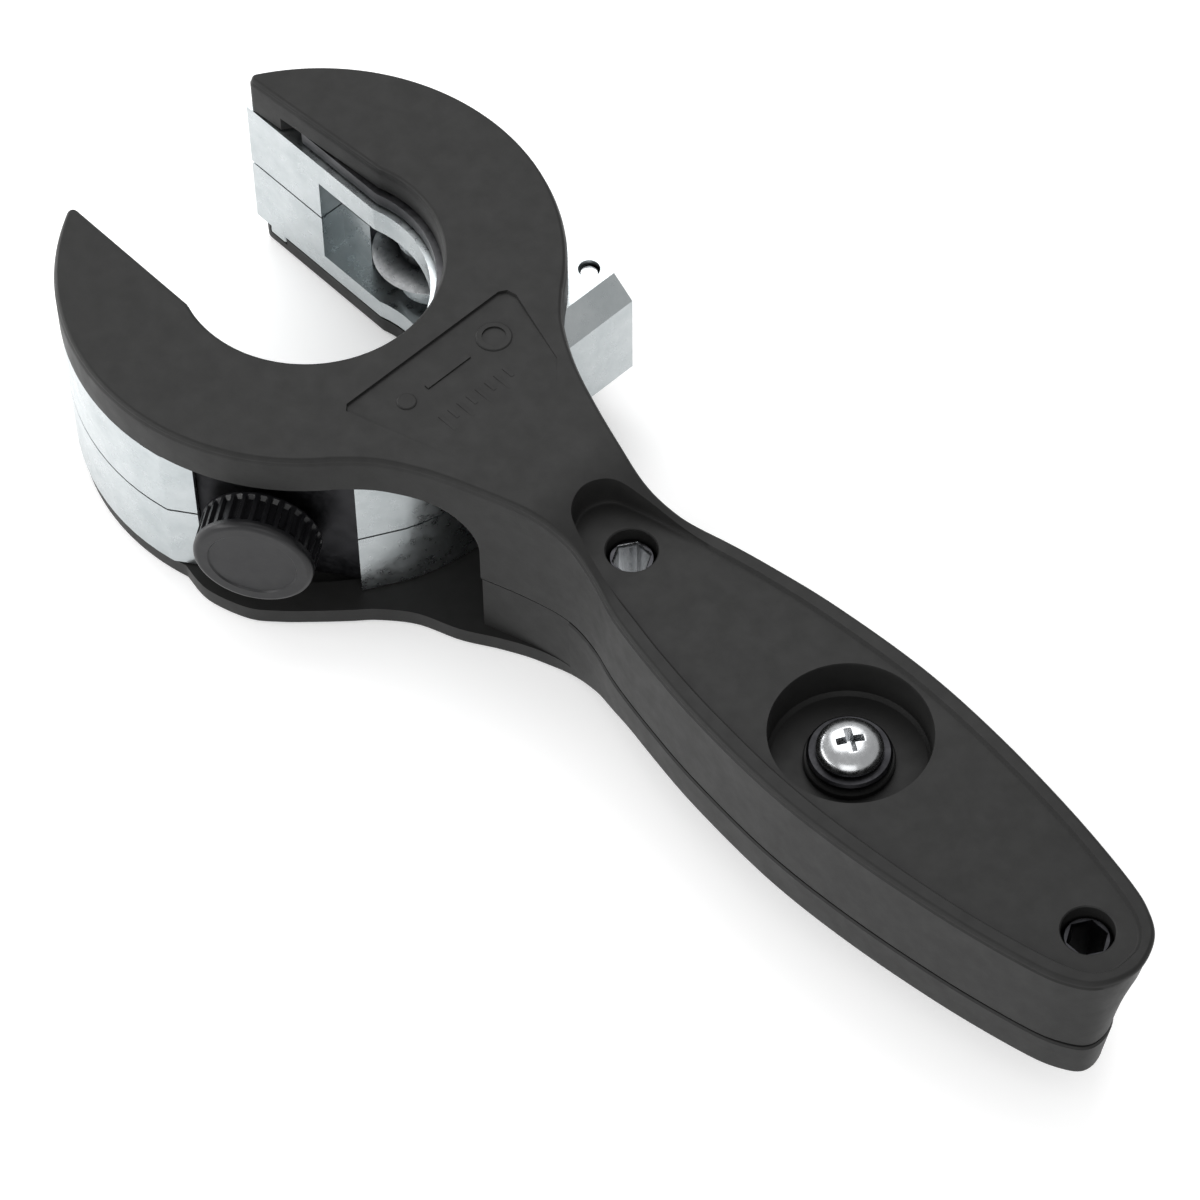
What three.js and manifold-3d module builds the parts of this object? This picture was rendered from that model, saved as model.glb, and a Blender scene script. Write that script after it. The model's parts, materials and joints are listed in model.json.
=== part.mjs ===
// Ratcheting tube cutter: a C-shaped cutter head turns between two plates at the end of a handle.
// Units are millimetres. +Z is up, +X runs from the jaw to the end of the handle.
// The tool lies flat on the underside of its back plate, which is at Z = 0.
import * as THREE from 'three';
import { mergeVertices } from 'three/addons/utils/BufferGeometryUtils.js';
import Module from 'manifold-3d';

const wasm = await Module();
wasm.setup();

// ---- Driving dimensions ----

// The head's turning axis lies this far behind the origin.
const HEAD_X = -25;

// Heights
const PLATE_TOP = 32.4;
const HANDLE_TOP = 27.5;
const INSET_TOP = 26.9;
const PLATE_UNDERSIDE = 26.3;
const GEAR_POCKET_TOP = 28.6;
const PARTING = 13.3;
const HANDLE_BOTTOM = 6.6;
const BACK_PLATE_TOP = 3.1;
const RING_BOTTOM = 3.4;
const RING_TOP = 26.0;
const MID = 14.7;
const GAP = 0.3;

// Plates and jaw: the front plate's far prong leans in by this much for each millimetre along it
const PLATE_R = 33.5;
const JAW_HALF = 16.6;
const JAW_R = 17.5;
const PRONG_LEAN = 0.07;
const BACK_JAW_HALF = 14.6;
const BACK_JAW_R = 15.2;
const CAVITY_R = 44.4;
const CAVITY_CORNER = 7;
const WALL = 2.4;
const DRAFT = 0.7;
const END_TAPER = 1.8;
const END_PULL = 1.9;

// Cutter ring
const RING_R = 33.6;
const RING_JAW_HALF = 14.8;
const RING_JAW_R = 15.5;
const RAIL_IN = 28.6;
const RAIL_OUT = 31.0;
const RAIL_DEPTH = 1.2;

// Ratchet
const TEETH = 36;
const TOOTH_TIP_R = 27.5;
const TOOTH_ROOT_R = 25.6;
const GEAR_POCKET_R = 28.0;
const GEAR_BOTTOM = 26.3;
const GEAR_TOP = 28.3;
const PAWL_ANGLES = [45, -45];

// Handle hardware
const NECK_HOLE_X = 60.5;
const SCREW_X = 99.3;
const END_HOLE_X = 139.0;
const RECESS_R = 10.3;
const RECESS_FLOOR = 20.5;
const SLEEVE_R = 3.0;
const SLEEVE_HEX_R = 2.4;

// Feed: the knob's axis is radial and points this way from the head's axis
const FEED_ANGLE = THREE.MathUtils.degToRad(-55);
const KNOB_R = 8.2;
const KNOB_FACE = 37.6;
const KNOB_BACK = 31.9;
const STEM_R = 3.0;
const STEM_PITCH = 2.5;
const SLEEVE_START = 21.7;
const ROLLER_R = 3.2;
const ROLLER_V = 5.0;
const ROLLER_U = 17.6;

// Cutting wheel and its arm
const WHEEL_X = -1.4;
const WHEEL_Y = 21.7;
const WHEEL_R = 8.0;
const PIVOT_X = 22.6;
const PIVOT_Y = 28.8;
const ARM_BOTTOM = 8.2;
const ARM_TOP = 20.6;
const WINDOW_BOTTOM = 6.6;
const WINDOW_TOP = 21.9;

// ---- Materials ----

const look = (color, roughness, metalness) => new THREE.MeshStandardMaterial({ color, roughness, metalness });
const black = look(0x2b2b2b, 0.55, 0.0);
const knobBlack = look(0x1e1e20, 0.45, 0.0);
const zinc = look(0xd4dbdd, 0.3, 1.0);
const steel = look(0xb4b8ba, 0.3, 1.0);
const darkSteel = look(0x4a4b4e, 0.4, 1.0);
const toolSteel = look(0x74777a, 0.25, 1.0);
const blackSteel = look(0x232325, 0.45, 0.6);

// ---- Solids ----

function solid(geometry) {
  const g = geometry.clone();
  for (const name of Object.keys(g.attributes)) {
    if (name !== 'position') g.deleteAttribute(name);
  }
  const merged = mergeVertices(g, 1e-4);
  return new wasm.Manifold(new wasm.Mesh({
    numProp: 3,
    vertProperties: Float32Array.from(merged.attributes.position.array),
    triVerts: Uint32Array.from(merged.index.array),
  }));
}

function geometryOf(body) {
  const mesh = body.getMesh();
  const g = new THREE.BufferGeometry();
  g.setAttribute('position', new THREE.BufferAttribute(Float32Array.from(mesh.vertProperties), 3));
  g.setIndex(new THREE.BufferAttribute(Uint32Array.from(mesh.triVerts), 1));
  g.computeVertexNormals();
  return g;
}

function prismGeometry(points, z0, z1) {
  const g = new THREE.ExtrudeGeometry(new THREE.Shape(points), { depth: z1 - z0, bevelEnabled: false });
  return g.translate(0, 0, z0);
}

const prism = (points, z0, z1) => solid(prismGeometry(points, z0, z1));

function discGeometry(r, z0, z1, x = 0, y = 0, sides = 32, topR = r) {
  const g = new THREE.CylinderGeometry(topR, r, z1 - z0, sides);
  return g.rotateX(Math.PI / 2).translate(x, y, (z0 + z1) / 2);
}

const disc = (...args) => solid(discGeometry(...args));

function boxGeometry(x0, x1, y0, y1, z0, z1) {
  const g = new THREE.BoxGeometry(x1 - x0, y1 - y0, z1 - z0);
  return g.translate((x0 + x1) / 2, (y0 + y1) / 2, (z0 + z1) / 2);
}

const box = (...args) => solid(boxGeometry(...args));

// A solid of revolution about a Z-parallel axis; the profile is [radius, z] and starts and ends on the axis.
function turned(profile, x = 0, y = 0, sides = 32) {
  const points = profile.map(([r, z]) => new THREE.Vector2(r, z));
  const g = new THREE.LatheGeometry(points, sides);
  return solid(g.rotateX(Math.PI / 2).translate(x, y, 0));
}

// Side profile [x, z] pushed across the full width of the tool.
function sideProfile(points, half = 50) {
  const shape = new THREE.Shape(points.map(([x, z]) => new THREE.Vector2(x, z)));
  const g = new THREE.ExtrudeGeometry(shape, { depth: 2 * half, bevelEnabled: false });
  return solid(g.rotateX(Math.PI / 2).translate(0, half, 0));
}

const v2 = (x, y) => new THREE.Vector2(x, y);
const polar = (r, degrees) => {
  const a = THREE.MathUtils.degToRad(degrees);
  return v2(r * Math.cos(a), r * Math.sin(a));
};

function arc(r, from, to, steps) {
  const points = [];
  for (let i = 0; i <= steps; i += 1) points.push(polar(r, from + ((to - from) * i) / steps));
  return points;
}

// The feed's own frame: u is outward along the knob's axis, v is across it.
function inFeed(geometry) {
  return solid(geometry.rotateZ(FEED_ANGLE));
}

// A turned piece on the feed axis; the profile is [radius, u].
function feedTurned(profile, sides = 32) {
  const points = profile.map(([r, u]) => new THREE.Vector2(r, u));
  const g = new THREE.LatheGeometry(points, sides);
  return inFeed(g.rotateZ(-Math.PI / 2).translate(0, 0, MID));
}

const feedBox = (...args) => inFeed(boxGeometry(...args));
const feedDisc = (...args) => inFeed(discGeometry(...args));

// ---- Outlines ----

// Upper half of the front shell's outline, from the head circle along the neck to the handle's end.
const FRONT_HALF = [
  [26.75, 20.16], [30.8, 16.3], [36.6, 12.9], [43.3, 10.2], [50.3, 7.9], [56.0, 6.8],
  [61.2, 7.4], [67.2, 9.2], [75.0, 10.8], [85.0, 12.3], [98.9, 13.25], [112.0, 12.7],
  [126.0, 11.0], [137.4, 8.8], [142.6, 7.2], [146.0, 4.4],
];
const HANDLE_END_X = 147.3;

// Upper half of the back plate's outline, which bulges out below the knob.
const BACK_HALF = [
  [8.67, 32.36], [13.5, 32.9], [19.4, 31.1], [22.9, 28.4], [26.5, 24.7], [29.5, 21.4], [31.8, 18.8],
  [35.9, 15.6], [41.6, 13.3], [46.4, 10.4], [51.5, 7.6], [56.0, 6.4],
];

function halfCurve(half, steps) {
  return new THREE.SplineCurve(half.map(([x, y]) => v2(x, y))).getPoints(steps);
}

function closedOutline(half, steps, headFrom, end) {
  const upper = halfCurve(half, steps);
  const lower = upper.map((p) => v2(p.x, -p.y)).reverse();
  const circle = arc(PLATE_R, headFrom, 360 - headFrom, 56).slice(1, -1);
  const tip = end === undefined ? [] : [v2(end, 0)];
  return [...upper, ...tip, ...lower, ...circle.reverse()];
}

// Moves a smooth closed outline inwards (negative) or outwards.
function offset(points, distance) {
  const n = points.length;
  const sign = THREE.ShapeUtils.area(points) > 0 ? 1 : -1;
  return points.map((p, i) => {
    const before = points[(i + n - 1) % n];
    const after = points[(i + 1) % n];
    const along = after.clone().sub(before).normalize();
    return v2(p.x + along.y * sign * distance, p.y - along.x * sign * distance);
  });
}

// A prism whose bottom outline differs from its top one, point for point.
function drafted(bottom, z0, top, z1) {
  const n = top.length;
  const flip = THREE.ShapeUtils.area(top) < 0;
  const faces = THREE.ShapeUtils.triangulateShape(top, []);
  const positions = [...bottom.flatMap((p) => [p.x, p.y, z0]), ...top.flatMap((p) => [p.x, p.y, z1])];
  const index = [];
  const push = (a, b, c) => index.push(...(flip ? [a, c, b] : [a, b, c]));
  for (let i = 0; i < n; i += 1) {
    const j = (i + 1) % n;
    push(i, j, n + j);
    push(i, n + j, n + i);
  }
  for (const [a, b, c] of faces) {
    const turn = THREE.ShapeUtils.area([top[a], top[b], top[c]]) > 0;
    const [p, q, r] = turn ? [a, b, c] : [a, c, b];
    index.push(n + p, n + q, n + r);
    index.push(p, r, q);
  }
  const g = new THREE.BufferGeometry();
  g.setAttribute('position', new THREE.BufferAttribute(Float32Array.from(positions), 3));
  g.setIndex(index);
  return solid(g);
}

function easedLine(x0, z0, x1, z1, steps) {
  const points = [];
  for (let i = 0; i <= steps; i += 1) {
    const t = i / steps;
    points.push([x0 + (x1 - x0) * t, z0 + ((z1 - z0) * (1 - Math.cos(Math.PI * t))) / 2]);
  }
  return points;
}

const frontOutline = closedOutline(FRONT_HALF, 44, 37, HANDLE_END_X);

function jawCut(half, r, z0, z1) {
  return box(-45, 0, -half, half, z0, z1).add(disc(r, z0, z1, 0, 0, 64));
}

// The front plate's jaw, whose edge on the wheel's side leans in towards the mouth.
function frontJaw() {
  const far = JAW_HALF + 0.1;
  const slot = [v2(0, -JAW_HALF), v2(0, far), v2(-6.5, far), v2(-45, far - 38.5 * PRONG_LEAN), v2(-45, -JAW_HALF)];
  return prism(slot, -1, 40).add(disc(JAW_R, -1, 40, 0, 0, 64));
}

// ---- Handle shells ----

// Draws an outline's handle end inwards on the side away from the knob, fading out towards the middle.
function endTaper(points) {
  const inner = offset(points, -END_TAPER);
  return points.map((p, i) => {
    const share = THREE.MathUtils.clamp((p.x - 108) / 38, 0, 1) ** 2 * THREE.MathUtils.smoothstep(p.y, -6, 3);
    return v2(p.x + (inner[i].x - END_PULL - p.x) * share, p.y + (inner[i].y - p.y) * share);
  });
}

function handleHollow(z0, z1, floor) {
  const core = prism(offset(frontOutline, -WALL), z0, z1).intersect(box(47, 134, -20, 20, z0 - 1, z1 + 1));
  return floor ? core.intersect(floor) : core;
}

function frontBlank() {
  const neckSlope = easedLine(48, PLATE_TOP, 67, HANDLE_TOP, 10);
  const side = sideProfile([[-40, 5], [152, 5], [152, HANDLE_TOP], ...neckSlope.reverse(), [-40, PLATE_TOP]]);
  const bottom = PARTING + 0.15;
  const flared = offset(frontOutline, DRAFT);
  const plate = drafted(flared, bottom, frontOutline, PLATE_TOP).intersect(box(-50, 75, -50, 50, 0, 40));
  const grip = drafted(endTaper(flared), bottom, frontOutline, HANDLE_TOP).intersect(box(70, 160, -50, 50, 0, 40));
  return plate.add(grip).intersect(side);
}

// The flat face set into the handle's top, stepped down from a narrow rim.
function insetFace() {
  const half = [
    [52.0, 0.01], [53.5, 3.4], [57.6, 5.0], [62.0, 6.0], [68.0, 7.2], [75.0, 8.6], [85.0, 10.0], [98.9, 10.95],
    [112.0, 10.45], [126.0, 8.9], [137.0, 6.7], [142.3, 4.9], [144.6, 2.6], [145.0, 0.01],
  ];
  const upper = halfCurve(half, 36);
  const lower = upper.map((p) => v2(p.x, -p.y)).reverse();
  return prism([...upper, ...lower], INSET_TOP, PLATE_TOP + 2);
}

// Shallow panel on the plate, where the size marks are.
function markPanel() {
  const points = [v2(21.4, -12.6), v2(38.5, -8.4), v2(38.5, 8.4), v2(35, 11.4), v2(23.0, 15.0), v2(21.4, 13.6)];
  return prism(points, PLATE_TOP - 0.5, PLATE_TOP + 1);
}

// Raised size marks: a small and a large tube section joined by a bar, over a row of graduations.
function sizeMarks() {
  const z0 = PLATE_TOP - 0.6;
  const z1 = PLATE_TOP - 0.1;
  let marks = disc(1.3, z0, z1, 26.3, -7.0, 16);
  marks = marks.add(disc(2.4, z0, z1, 26.3, 8.3, 20).subtract(disc(1.6, z0 - 1, z1 + 1, 26.3, 8.3, 16)));
  marks = marks.add(box(26.0, 26.7, -3.6, 3.8, z0, z1));
  for (let i = 0; i < 8; i += 1) {
    const y = -5.6 + 1.6 * i;
    marks = marks.add(box(31.0, i % 2 ? 32.8 : 34.0, y - 0.25, y + 0.25, z0, z1));
  }
  return marks;
}

// The room in which the head turns, with a rounded corner where the neck wall meets the front plate.
function headCavity() {
  const corner = [];
  for (let i = 0; i <= 6; i += 1) {
    const a = ((Math.PI / 2) * i) / 6;
    corner.push([CAVITY_R - CAVITY_CORNER + CAVITY_CORNER * Math.cos(a),
      PLATE_UNDERSIDE - CAVITY_CORNER + CAVITY_CORNER * Math.sin(a)]);
  }
  return turned([[0, -1], [CAVITY_R, -1], ...corner, [0, PLATE_UNDERSIDE]], 0, 0, 96);
}

// Room for one pawl and its spring, beside the ratchet ring.
function pawlPocket(angle) {
  const points = [
    polar(27.0, angle + 1.6), polar(31.7, angle + 1.6), polar(32.1, angle - 8), polar(32.3, angle - 20.2),
    polar(30.6, angle - 22.6), polar(28.2, angle - 21.9), polar(27.0, angle - 16),
  ];
  return prism(points, PLATE_UNDERSIDE - 1, GEAR_POCKET_TOP);
}

function pawlPivot(angle) {
  return polar(30.0, angle - 17.6);
}

function frontShell() {
  let shell = frontBlank();
  shell = shell.subtract(handleHollow(5, 24.2));
  shell = shell.add(disc(5.2, PARTING + 0.15, 24.4, NECK_HOLE_X, 0));
  shell = shell.add(disc(12.3, 18.3, 24.4, SCREW_X, 0, 40));
  shell = shell.add(disc(6.3, PARTING + 0.15, 19, SCREW_X, 0));
  shell = shell.subtract(insetFace());
  const boss = disc(5.7, RECESS_FLOOR - 1, 21.6, SCREW_X, 0);
  shell = shell.subtract(disc(RECESS_R, RECESS_FLOOR, 30, SCREW_X, 0, 48)).add(boss);
  shell = shell.subtract(disc(2.2, 5, 30, SCREW_X, 0, 20));
  for (const x of [NECK_HOLE_X, END_HOLE_X]) {
    shell = shell.subtract(disc(SLEEVE_R + GAP, 5, 30, x, 0, 24));
  }
  shell = shell.subtract(headCavity());
  shell = shell.subtract(disc(GEAR_POCKET_R, 20, GEAR_POCKET_TOP, 0, 0, 72));
  shell = shell.subtract(frontJaw());
  for (const angle of PAWL_ANGLES) {
    const pivot = pawlPivot(angle);
    shell = shell.subtract(pawlPocket(angle));
    shell = shell.subtract(disc(1.3, 20, 30.4, pivot.x, pivot.y, 16));
  }
  shell = shell.subtract(markPanel());
  return shell.add(sizeMarks());
}

function backShell() {
  const plate = prism(closedOutline(BACK_HALF, 40, 75), 0, BACK_PLATE_TOP);
  const rise = easedLine(51, 0, 72, HANDLE_BOTTOM, 10);
  const side = sideProfile([[-40, 40], [-40, 0], ...rise, [152, HANDLE_BOTTOM], [152, 40]]);
  const grip = endTaper(offset(frontOutline, 0.3));
  const handle = drafted(offset(grip, -0.5), 0, grip, PARTING - 0.15).intersect(box(42, 152, -20, 20, -1, 40));
  let shell = plate.add(handle).intersect(side);
  const floor = sideProfile([[44, 40], [44, 2.8], [53, 2.8], ...easedLine(54, 2.8, 72, 9.0, 8), [152, 9.0], [152, 40]]);
  shell = shell.subtract(handleHollow(1, 20, floor));
  for (const x of [NECK_HOLE_X, SCREW_X]) {
    const base = x === NECK_HOLE_X ? 4 : 7.4;
    shell = shell.add(disc(x === SCREW_X ? 6.3 : 5.2, base, PARTING - 0.15, x, 0));
  }
  for (const x of [NECK_HOLE_X, END_HOLE_X]) {
    shell = shell.subtract(disc(SLEEVE_R + GAP, -1, 30, x, 0, 24));
  }
  shell = shell.subtract(disc(2.2, 5, 30, SCREW_X, 0, 20));
  shell = shell.subtract(disc(4.4, 5, 10.3, SCREW_X, 0, 6));
  shell = shell.subtract(disc(CAVITY_R, BACK_PLATE_TOP, 40, 0, 0, 96));
  const groove = disc(RAIL_OUT + GAP, BACK_PLATE_TOP - RAIL_DEPTH - 0.1, 5, 0, 0, 72)
    .subtract(disc(RAIL_IN - GAP, 0, 6, 0, 0, 72));
  shell = shell.subtract(groove);
  return shell.subtract(jawCut(BACK_JAW_HALF, BACK_JAW_R, -1, 40));
}

// ---- Handle hardware ----

// Pan head with a cross recess.
function handleScrew() {
  const head = turned([[0, 9.6], [1.85, 9.6], [1.85, 23.2], [4.3, 23.2], [4.2, 24.2], [3.3, 25.0], [1.8, 25.4], [0, 25.5]],
    SCREW_X, 0, 24);
  const cross = box(SCREW_X - 2.1, SCREW_X + 2.1, -0.45, 0.45, 23.9, 27)
    .add(box(SCREW_X - 0.45, SCREW_X + 0.45, -2.1, 2.1, 23.9, 27));
  return head.subtract(cross);
}

function handleWasher() {
  return disc(5.4, 21.9, 22.9, SCREW_X, 0).subtract(disc(2.15, 20, 24, SCREW_X, 0, 20));
}

function handleNut() {
  return disc(4.04, 6.8, 9.9, SCREW_X, 0, 6).subtract(disc(2.15, 5, 12, SCREW_X, 0, 20));
}

// Hollow sleeve with a hexagonal bore, which holds the two shells together.
function sleeve(x, z0) {
  return disc(SLEEVE_R, z0, 25.2, x, 0, 24).subtract(disc(SLEEVE_HEX_R, z0 - 2, 30, x, 0, 6));
}

// ---- Ratchet ----

function ratchetRing() {
  const points = [];
  const pitch = 360 / TEETH;
  for (let i = 0; i < TEETH; i += 1) {
    const start = 45 + i * pitch;
    points.push(polar(TOOTH_ROOT_R, start - 0.4));
    points.push(polar(TOOTH_TIP_R, start));
    points.push(polar(TOOTH_TIP_R - 0.3, start + 1.2));
  }
  let ring = prism(points, GEAR_BOTTOM, GEAR_TOP);
  ring = ring.subtract(jawCut(RING_JAW_HALF + 0.9, RING_JAW_R + 0.9, 20, 40));
  ring = ring.subtract(box(-45, -19.8, -40, 40, 20, 40));
  for (const [x, y] of GEAR_SCREWS) {
    ring = ring.subtract(disc(1.45, 20, 40, x, y, 16));
    ring = ring.subtract(disc(1.45, GEAR_TOP - 1.3, GEAR_TOP + 0.1, x, y, 16, 2.75));
  }
  return ring;
}

const GEAR_SCREWS = [[21.0, 5.0], [-10.5, -19.5], [-9.8, 20.0]];

function gearScrew(x, y) {
  const body = turned([[0, 22.9], [1.1, 22.9], [1.1, 27.05], [2.2, 28.15], [0, 28.15]], x, y, 16);
  return body.subtract(box(x - 3, x + 3, y - 0.25, y + 0.25, 27.6, 29));
}

// The tip rests against a tooth's steep face and the tail turns on a pin in the plate.
function pawl(angle) {
  const pivot = pawlPivot(angle);
  const body = prism([
    polar(26.1, angle - 1.0), polar(28.4, angle - 0.9), polar(30.2, angle - 9), polar(31.7, angle - 17),
    polar(28.35, angle - 18.5), polar(28.0, angle - 13), polar(27.75, angle - 9.5), polar(27.0, angle - 5),
  ], GEAR_BOTTOM + 0.05, GEAR_TOP);
  const eye = disc(1.75, GEAR_BOTTOM + 0.05, GEAR_TOP, pivot.x, pivot.y, 20);
  return body.add(eye).subtract(disc(1.3, 20, 40, pivot.x, pivot.y, 16));
}

function pawlPin(angle) {
  const pivot = pawlPivot(angle);
  return disc(1.0, GEAR_BOTTOM + 0.05, 30.1, pivot.x, pivot.y, 16);
}

// Bent leaf between the pawl's back and the pocket's outer wall.
function pawlSpring(angle) {
  const inner = [polar(31.3, angle - 13), polar(30.95, angle - 10), polar(30.6, angle - 6.5), polar(31.0, angle - 1)];
  const outer = inner.map((p) => p.clone().multiplyScalar(1 + 0.35 / 31)).reverse();
  return prism([...inner, ...outer], GEAR_BOTTOM + 0.35, GEAR_TOP - GAP);
}

// ---- Cutter ring ----

const RING_SCREWS = [[24.8, 3.5], [-4.0, -23.6], [-17.2, -19.8], [-19.6, 19.4]];

// The block beside the ring that carries the wheel arm's pivot, with sloped front edges.
function pivotBlock() {
  const profile = [[10, 8.7], [28.9, 8.7], [28.9, 22.6], [25.4, 25.4], [10, 25.4]];
  const long = sideProfile(profile, 40);
  return long.intersect(box(17.6, 30, 12, 30.7, 0, 40));
}

// The hollow that the wheel arm swings in: open to the jaw and at the block's outer end.
function armPocket() {
  const inner = [v2(19.6, 16.5), v2(19.9, 24.0), v2(19.9, 34), v2(25.5, 34), v2(25.5, 26.2), v2(23.2, 22.6)];
  const slot = prism(inner, WINDOW_BOTTOM, WINDOW_TOP);
  const room = disc(31.4, WINDOW_BOTTOM, WINDOW_TOP, 0, 0, 72)
    .subtract(disc(10, 0, 40))
    .intersect(prism([
      v2(-15.8, 8), v2(13.5, 8), v2(23.2, 17.0), v2(25.5, 34), v2(-10.2, 34), v2(-10.2, 18.6), v2(-15.8, 18.6),
    ], 0, 40));
  return room.add(slot);
}

// A flat beside the notch faces this way.
const FACET_ANGLE = THREE.MathUtils.degToRad(-28);
const NOTCH_LEFT = -8.9;
const NOTCH_RIGHT = 12.6;

// The opening across the ring for the feed: full height outside, between two flanges further in.
function feedNotch() {
  return feedBox(25.5, 50, NOTCH_LEFT, NOTCH_RIGHT, 0, 40).add(feedBox(4, 30, -9.6, 9.6, 6.8, 22.6));
}

function ringBlank() {
  let ring = disc(RING_R, RING_BOTTOM, RING_TOP, 0, 0, 96).add(pivotBlock());
  ring = ring.subtract(armPocket()).subtract(feedNotch());
  ring = ring.subtract(feedBox(27.7, 30.1, NOTCH_LEFT - 1.0, NOTCH_RIGHT + 0.6, 3.9, 25.5));
  ring = ring.subtract(feedBox(31.0, 50, -14.2, NOTCH_LEFT + 1, 0, 40));
  ring = ring.subtract(solid(boxGeometry(33.4, 50, -10, 10, 0, 40).rotateZ(FACET_ANGLE)));
  ring = ring.subtract(disc(1.5, 0, 40, PIVOT_X, PIVOT_Y, 20));
  return ring.subtract(jawCut(RING_JAW_HALF, RING_JAW_R, -1, 40));
}

// The block outside the ring's round face, all of which is cast with the front half.
function blockBelowParting(clearance) {
  return box(-50, 50, 0, 50, 0, MID + 0.2).subtract(disc(RING_R + clearance, -1, 40, 0, 0, 96));
}

function ringFront() {
  const blank = ringBlank();
  let half = blank.intersect(box(-50, 50, -50, 50, MID + 0.15, 40)).add(blank.intersect(blockBelowParting(0.3)));
  for (const [x, y] of RING_SCREWS) half = half.subtract(disc(1.5, 10, 22, x, y, 16));
  for (const [x, y] of GEAR_SCREWS) half = half.subtract(disc(1.4, 22.6, 40, x, y, 16));
  return half;
}

function ringBack() {
  let half = ringBlank().intersect(box(-50, 50, -50, 50, 0, MID - 0.15)).subtract(blockBelowParting(0.05));
  const rail = disc(RAIL_OUT, RING_BOTTOM - RAIL_DEPTH, RING_BOTTOM + 0.5, 0, 0, 72)
    .subtract(disc(RAIL_IN, 0, 10, 0, 0, 72))
    .subtract(jawCut(RING_JAW_HALF, RING_JAW_R, -1, 40))
    .subtract(feedBox(20, 50, NOTCH_LEFT - 2, NOTCH_RIGHT + 2, -1, 40));
  half = half.add(rail);
  for (const [x, y] of RING_SCREWS) {
    half = half.subtract(disc(1.8, 0, 40, x, y, 16));
    half = half.subtract(disc(3.1, RING_BOTTOM - 0.1, RING_BOTTOM + 1.4, x, y, 20, 1.8));
  }
  return half;
}

function ringScrew(x, y) {
  const z = RING_BOTTOM + 0.15;
  const body = turned([[0, z], [2.5, z], [1.2, z + 1.3], [1.2, 21.4], [0, 21.4]], x, y, 16);
  return body.subtract(box(x - 1.4, x + 1.4, y - 0.3, y + 0.3, 0, z + 0.6))
    .subtract(box(x - 0.3, x + 0.3, y - 1.4, y + 1.4, 0, z + 0.6));
}

// ---- Feed ----

// Knurled cup with a closed outer face; its neck is an internally threaded sleeve around the feed stem.
function knob() {
  const teeth = 30;
  const points = [];
  for (let i = 0; i < teeth; i += 1) {
    const a = (360 * i) / teeth;
    points.push(polar(KNOB_R, a - 2.4), polar(KNOB_R, a + 2.4), polar(KNOB_R - 0.45, a + 4.4), polar(KNOB_R - 0.45, a + 7.6));
  }
  const grip = prismGeometry(points, KNOB_BACK, KNOB_FACE - 1.6).rotateY(Math.PI / 2).translate(0, 0, MID);
  let body = inFeed(grip);
  body = body.add(feedTurned([[0, KNOB_FACE - 1.9], [KNOB_R, KNOB_FACE - 1.9], [KNOB_R, KNOB_FACE - 0.7],
    [KNOB_R - 0.7, KNOB_FACE], [0, KNOB_FACE]], 60));
  body = body.add(feedTurned([[0, SLEEVE_START], [5.0, SLEEVE_START], [5.0, 26.75], [4.3, 26.75], [4.3, 27.65], [5.0, 27.65],
    [5.0, KNOB_BACK + 1], [0, KNOB_BACK + 1]]));
  return body.subtract(feedTurned([[0, 20], [STEM_R + GAP, 20], [STEM_R + GAP, 36.4], [0, 36.4]], 24));
}

// Threaded stem fixed in the carriage; the collars stand for its coarse thread.
function feedStem() {
  const profile = [[0, 19.6], [1.1, 19.6], [1.1, 21.6], [STEM_R - 0.5, 21.6]];
  for (let u = 22; u < 34.5; u += STEM_PITCH) {
    profile.push([STEM_R - 0.5, u], [STEM_R, u + 0.45], [STEM_R, u + 0.75], [STEM_R - 0.5, u + 1.2]);
  }
  profile.push([STEM_R - 0.5, 35.6], [STEM_R - 0.9, 36.0], [0, 36.0]);
  return feedTurned(profile, 20);
}

// Plate across the notch in which the knob's neck turns, held in grooves in the ring's two halves.
function bearingPlate() {
  const plate = feedBox(28.0, 29.8, NOTCH_LEFT - 0.7, NOTCH_RIGHT + 0.3, 4.2, 25.2);
  return plate.subtract(feedTurned([[0, 20], [5.3, 20], [5.3, 40], [0, 40]]));
}

// Retaining clip in the neck's groove, open on one side.
function neckClip() {
  const ring = feedTurned([[0, 26.9], [6.2, 26.9], [6.2, 27.5], [0, 27.5]], 28);
  const bore = feedTurned([[0, 26], [4.5, 26], [4.5, 29], [0, 29]], 28);
  return ring.subtract(bore).subtract(feedBox(26, 29, -2.2, 2.2, MID, MID + 10));
}

// Roller carriage: a head that holds both rollers, with two side tails that slide in the ring.
function carriage() {
  let body = feedBox(15.3, 21.2, -9.2, 9.2, 7.2, 22.2);
  body = body.add(feedBox(20, 27.6, 6.7, 9.2, 7.2, 22.2)).add(feedBox(20, 27.6, -9.2, -6.7, 7.2, 22.2));
  body = body.subtract(feedTurned([[0, 19.4], [1.4, 19.4], [1.4, 22], [0, 22]], 20));
  for (const v of [-ROLLER_V, ROLLER_V]) {
    body = body.subtract(feedDisc(ROLLER_R + 0.35, 9.4, 20.0, ROLLER_U, v, 28));
    body = body.subtract(feedDisc(1.15, 8.0, 25, ROLLER_U, v, 16));
  }
  return body;
}

function roller(v) {
  return feedDisc(ROLLER_R, 9.7, 19.7, ROLLER_U, v, 28).subtract(feedDisc(1.15, 0, 40, ROLLER_U, v, 16));
}

function rollerPin(v) {
  return feedDisc(0.85, 8.3, 21.9, ROLLER_U, v, 16);
}

// ---- Cutting wheel ----

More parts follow.
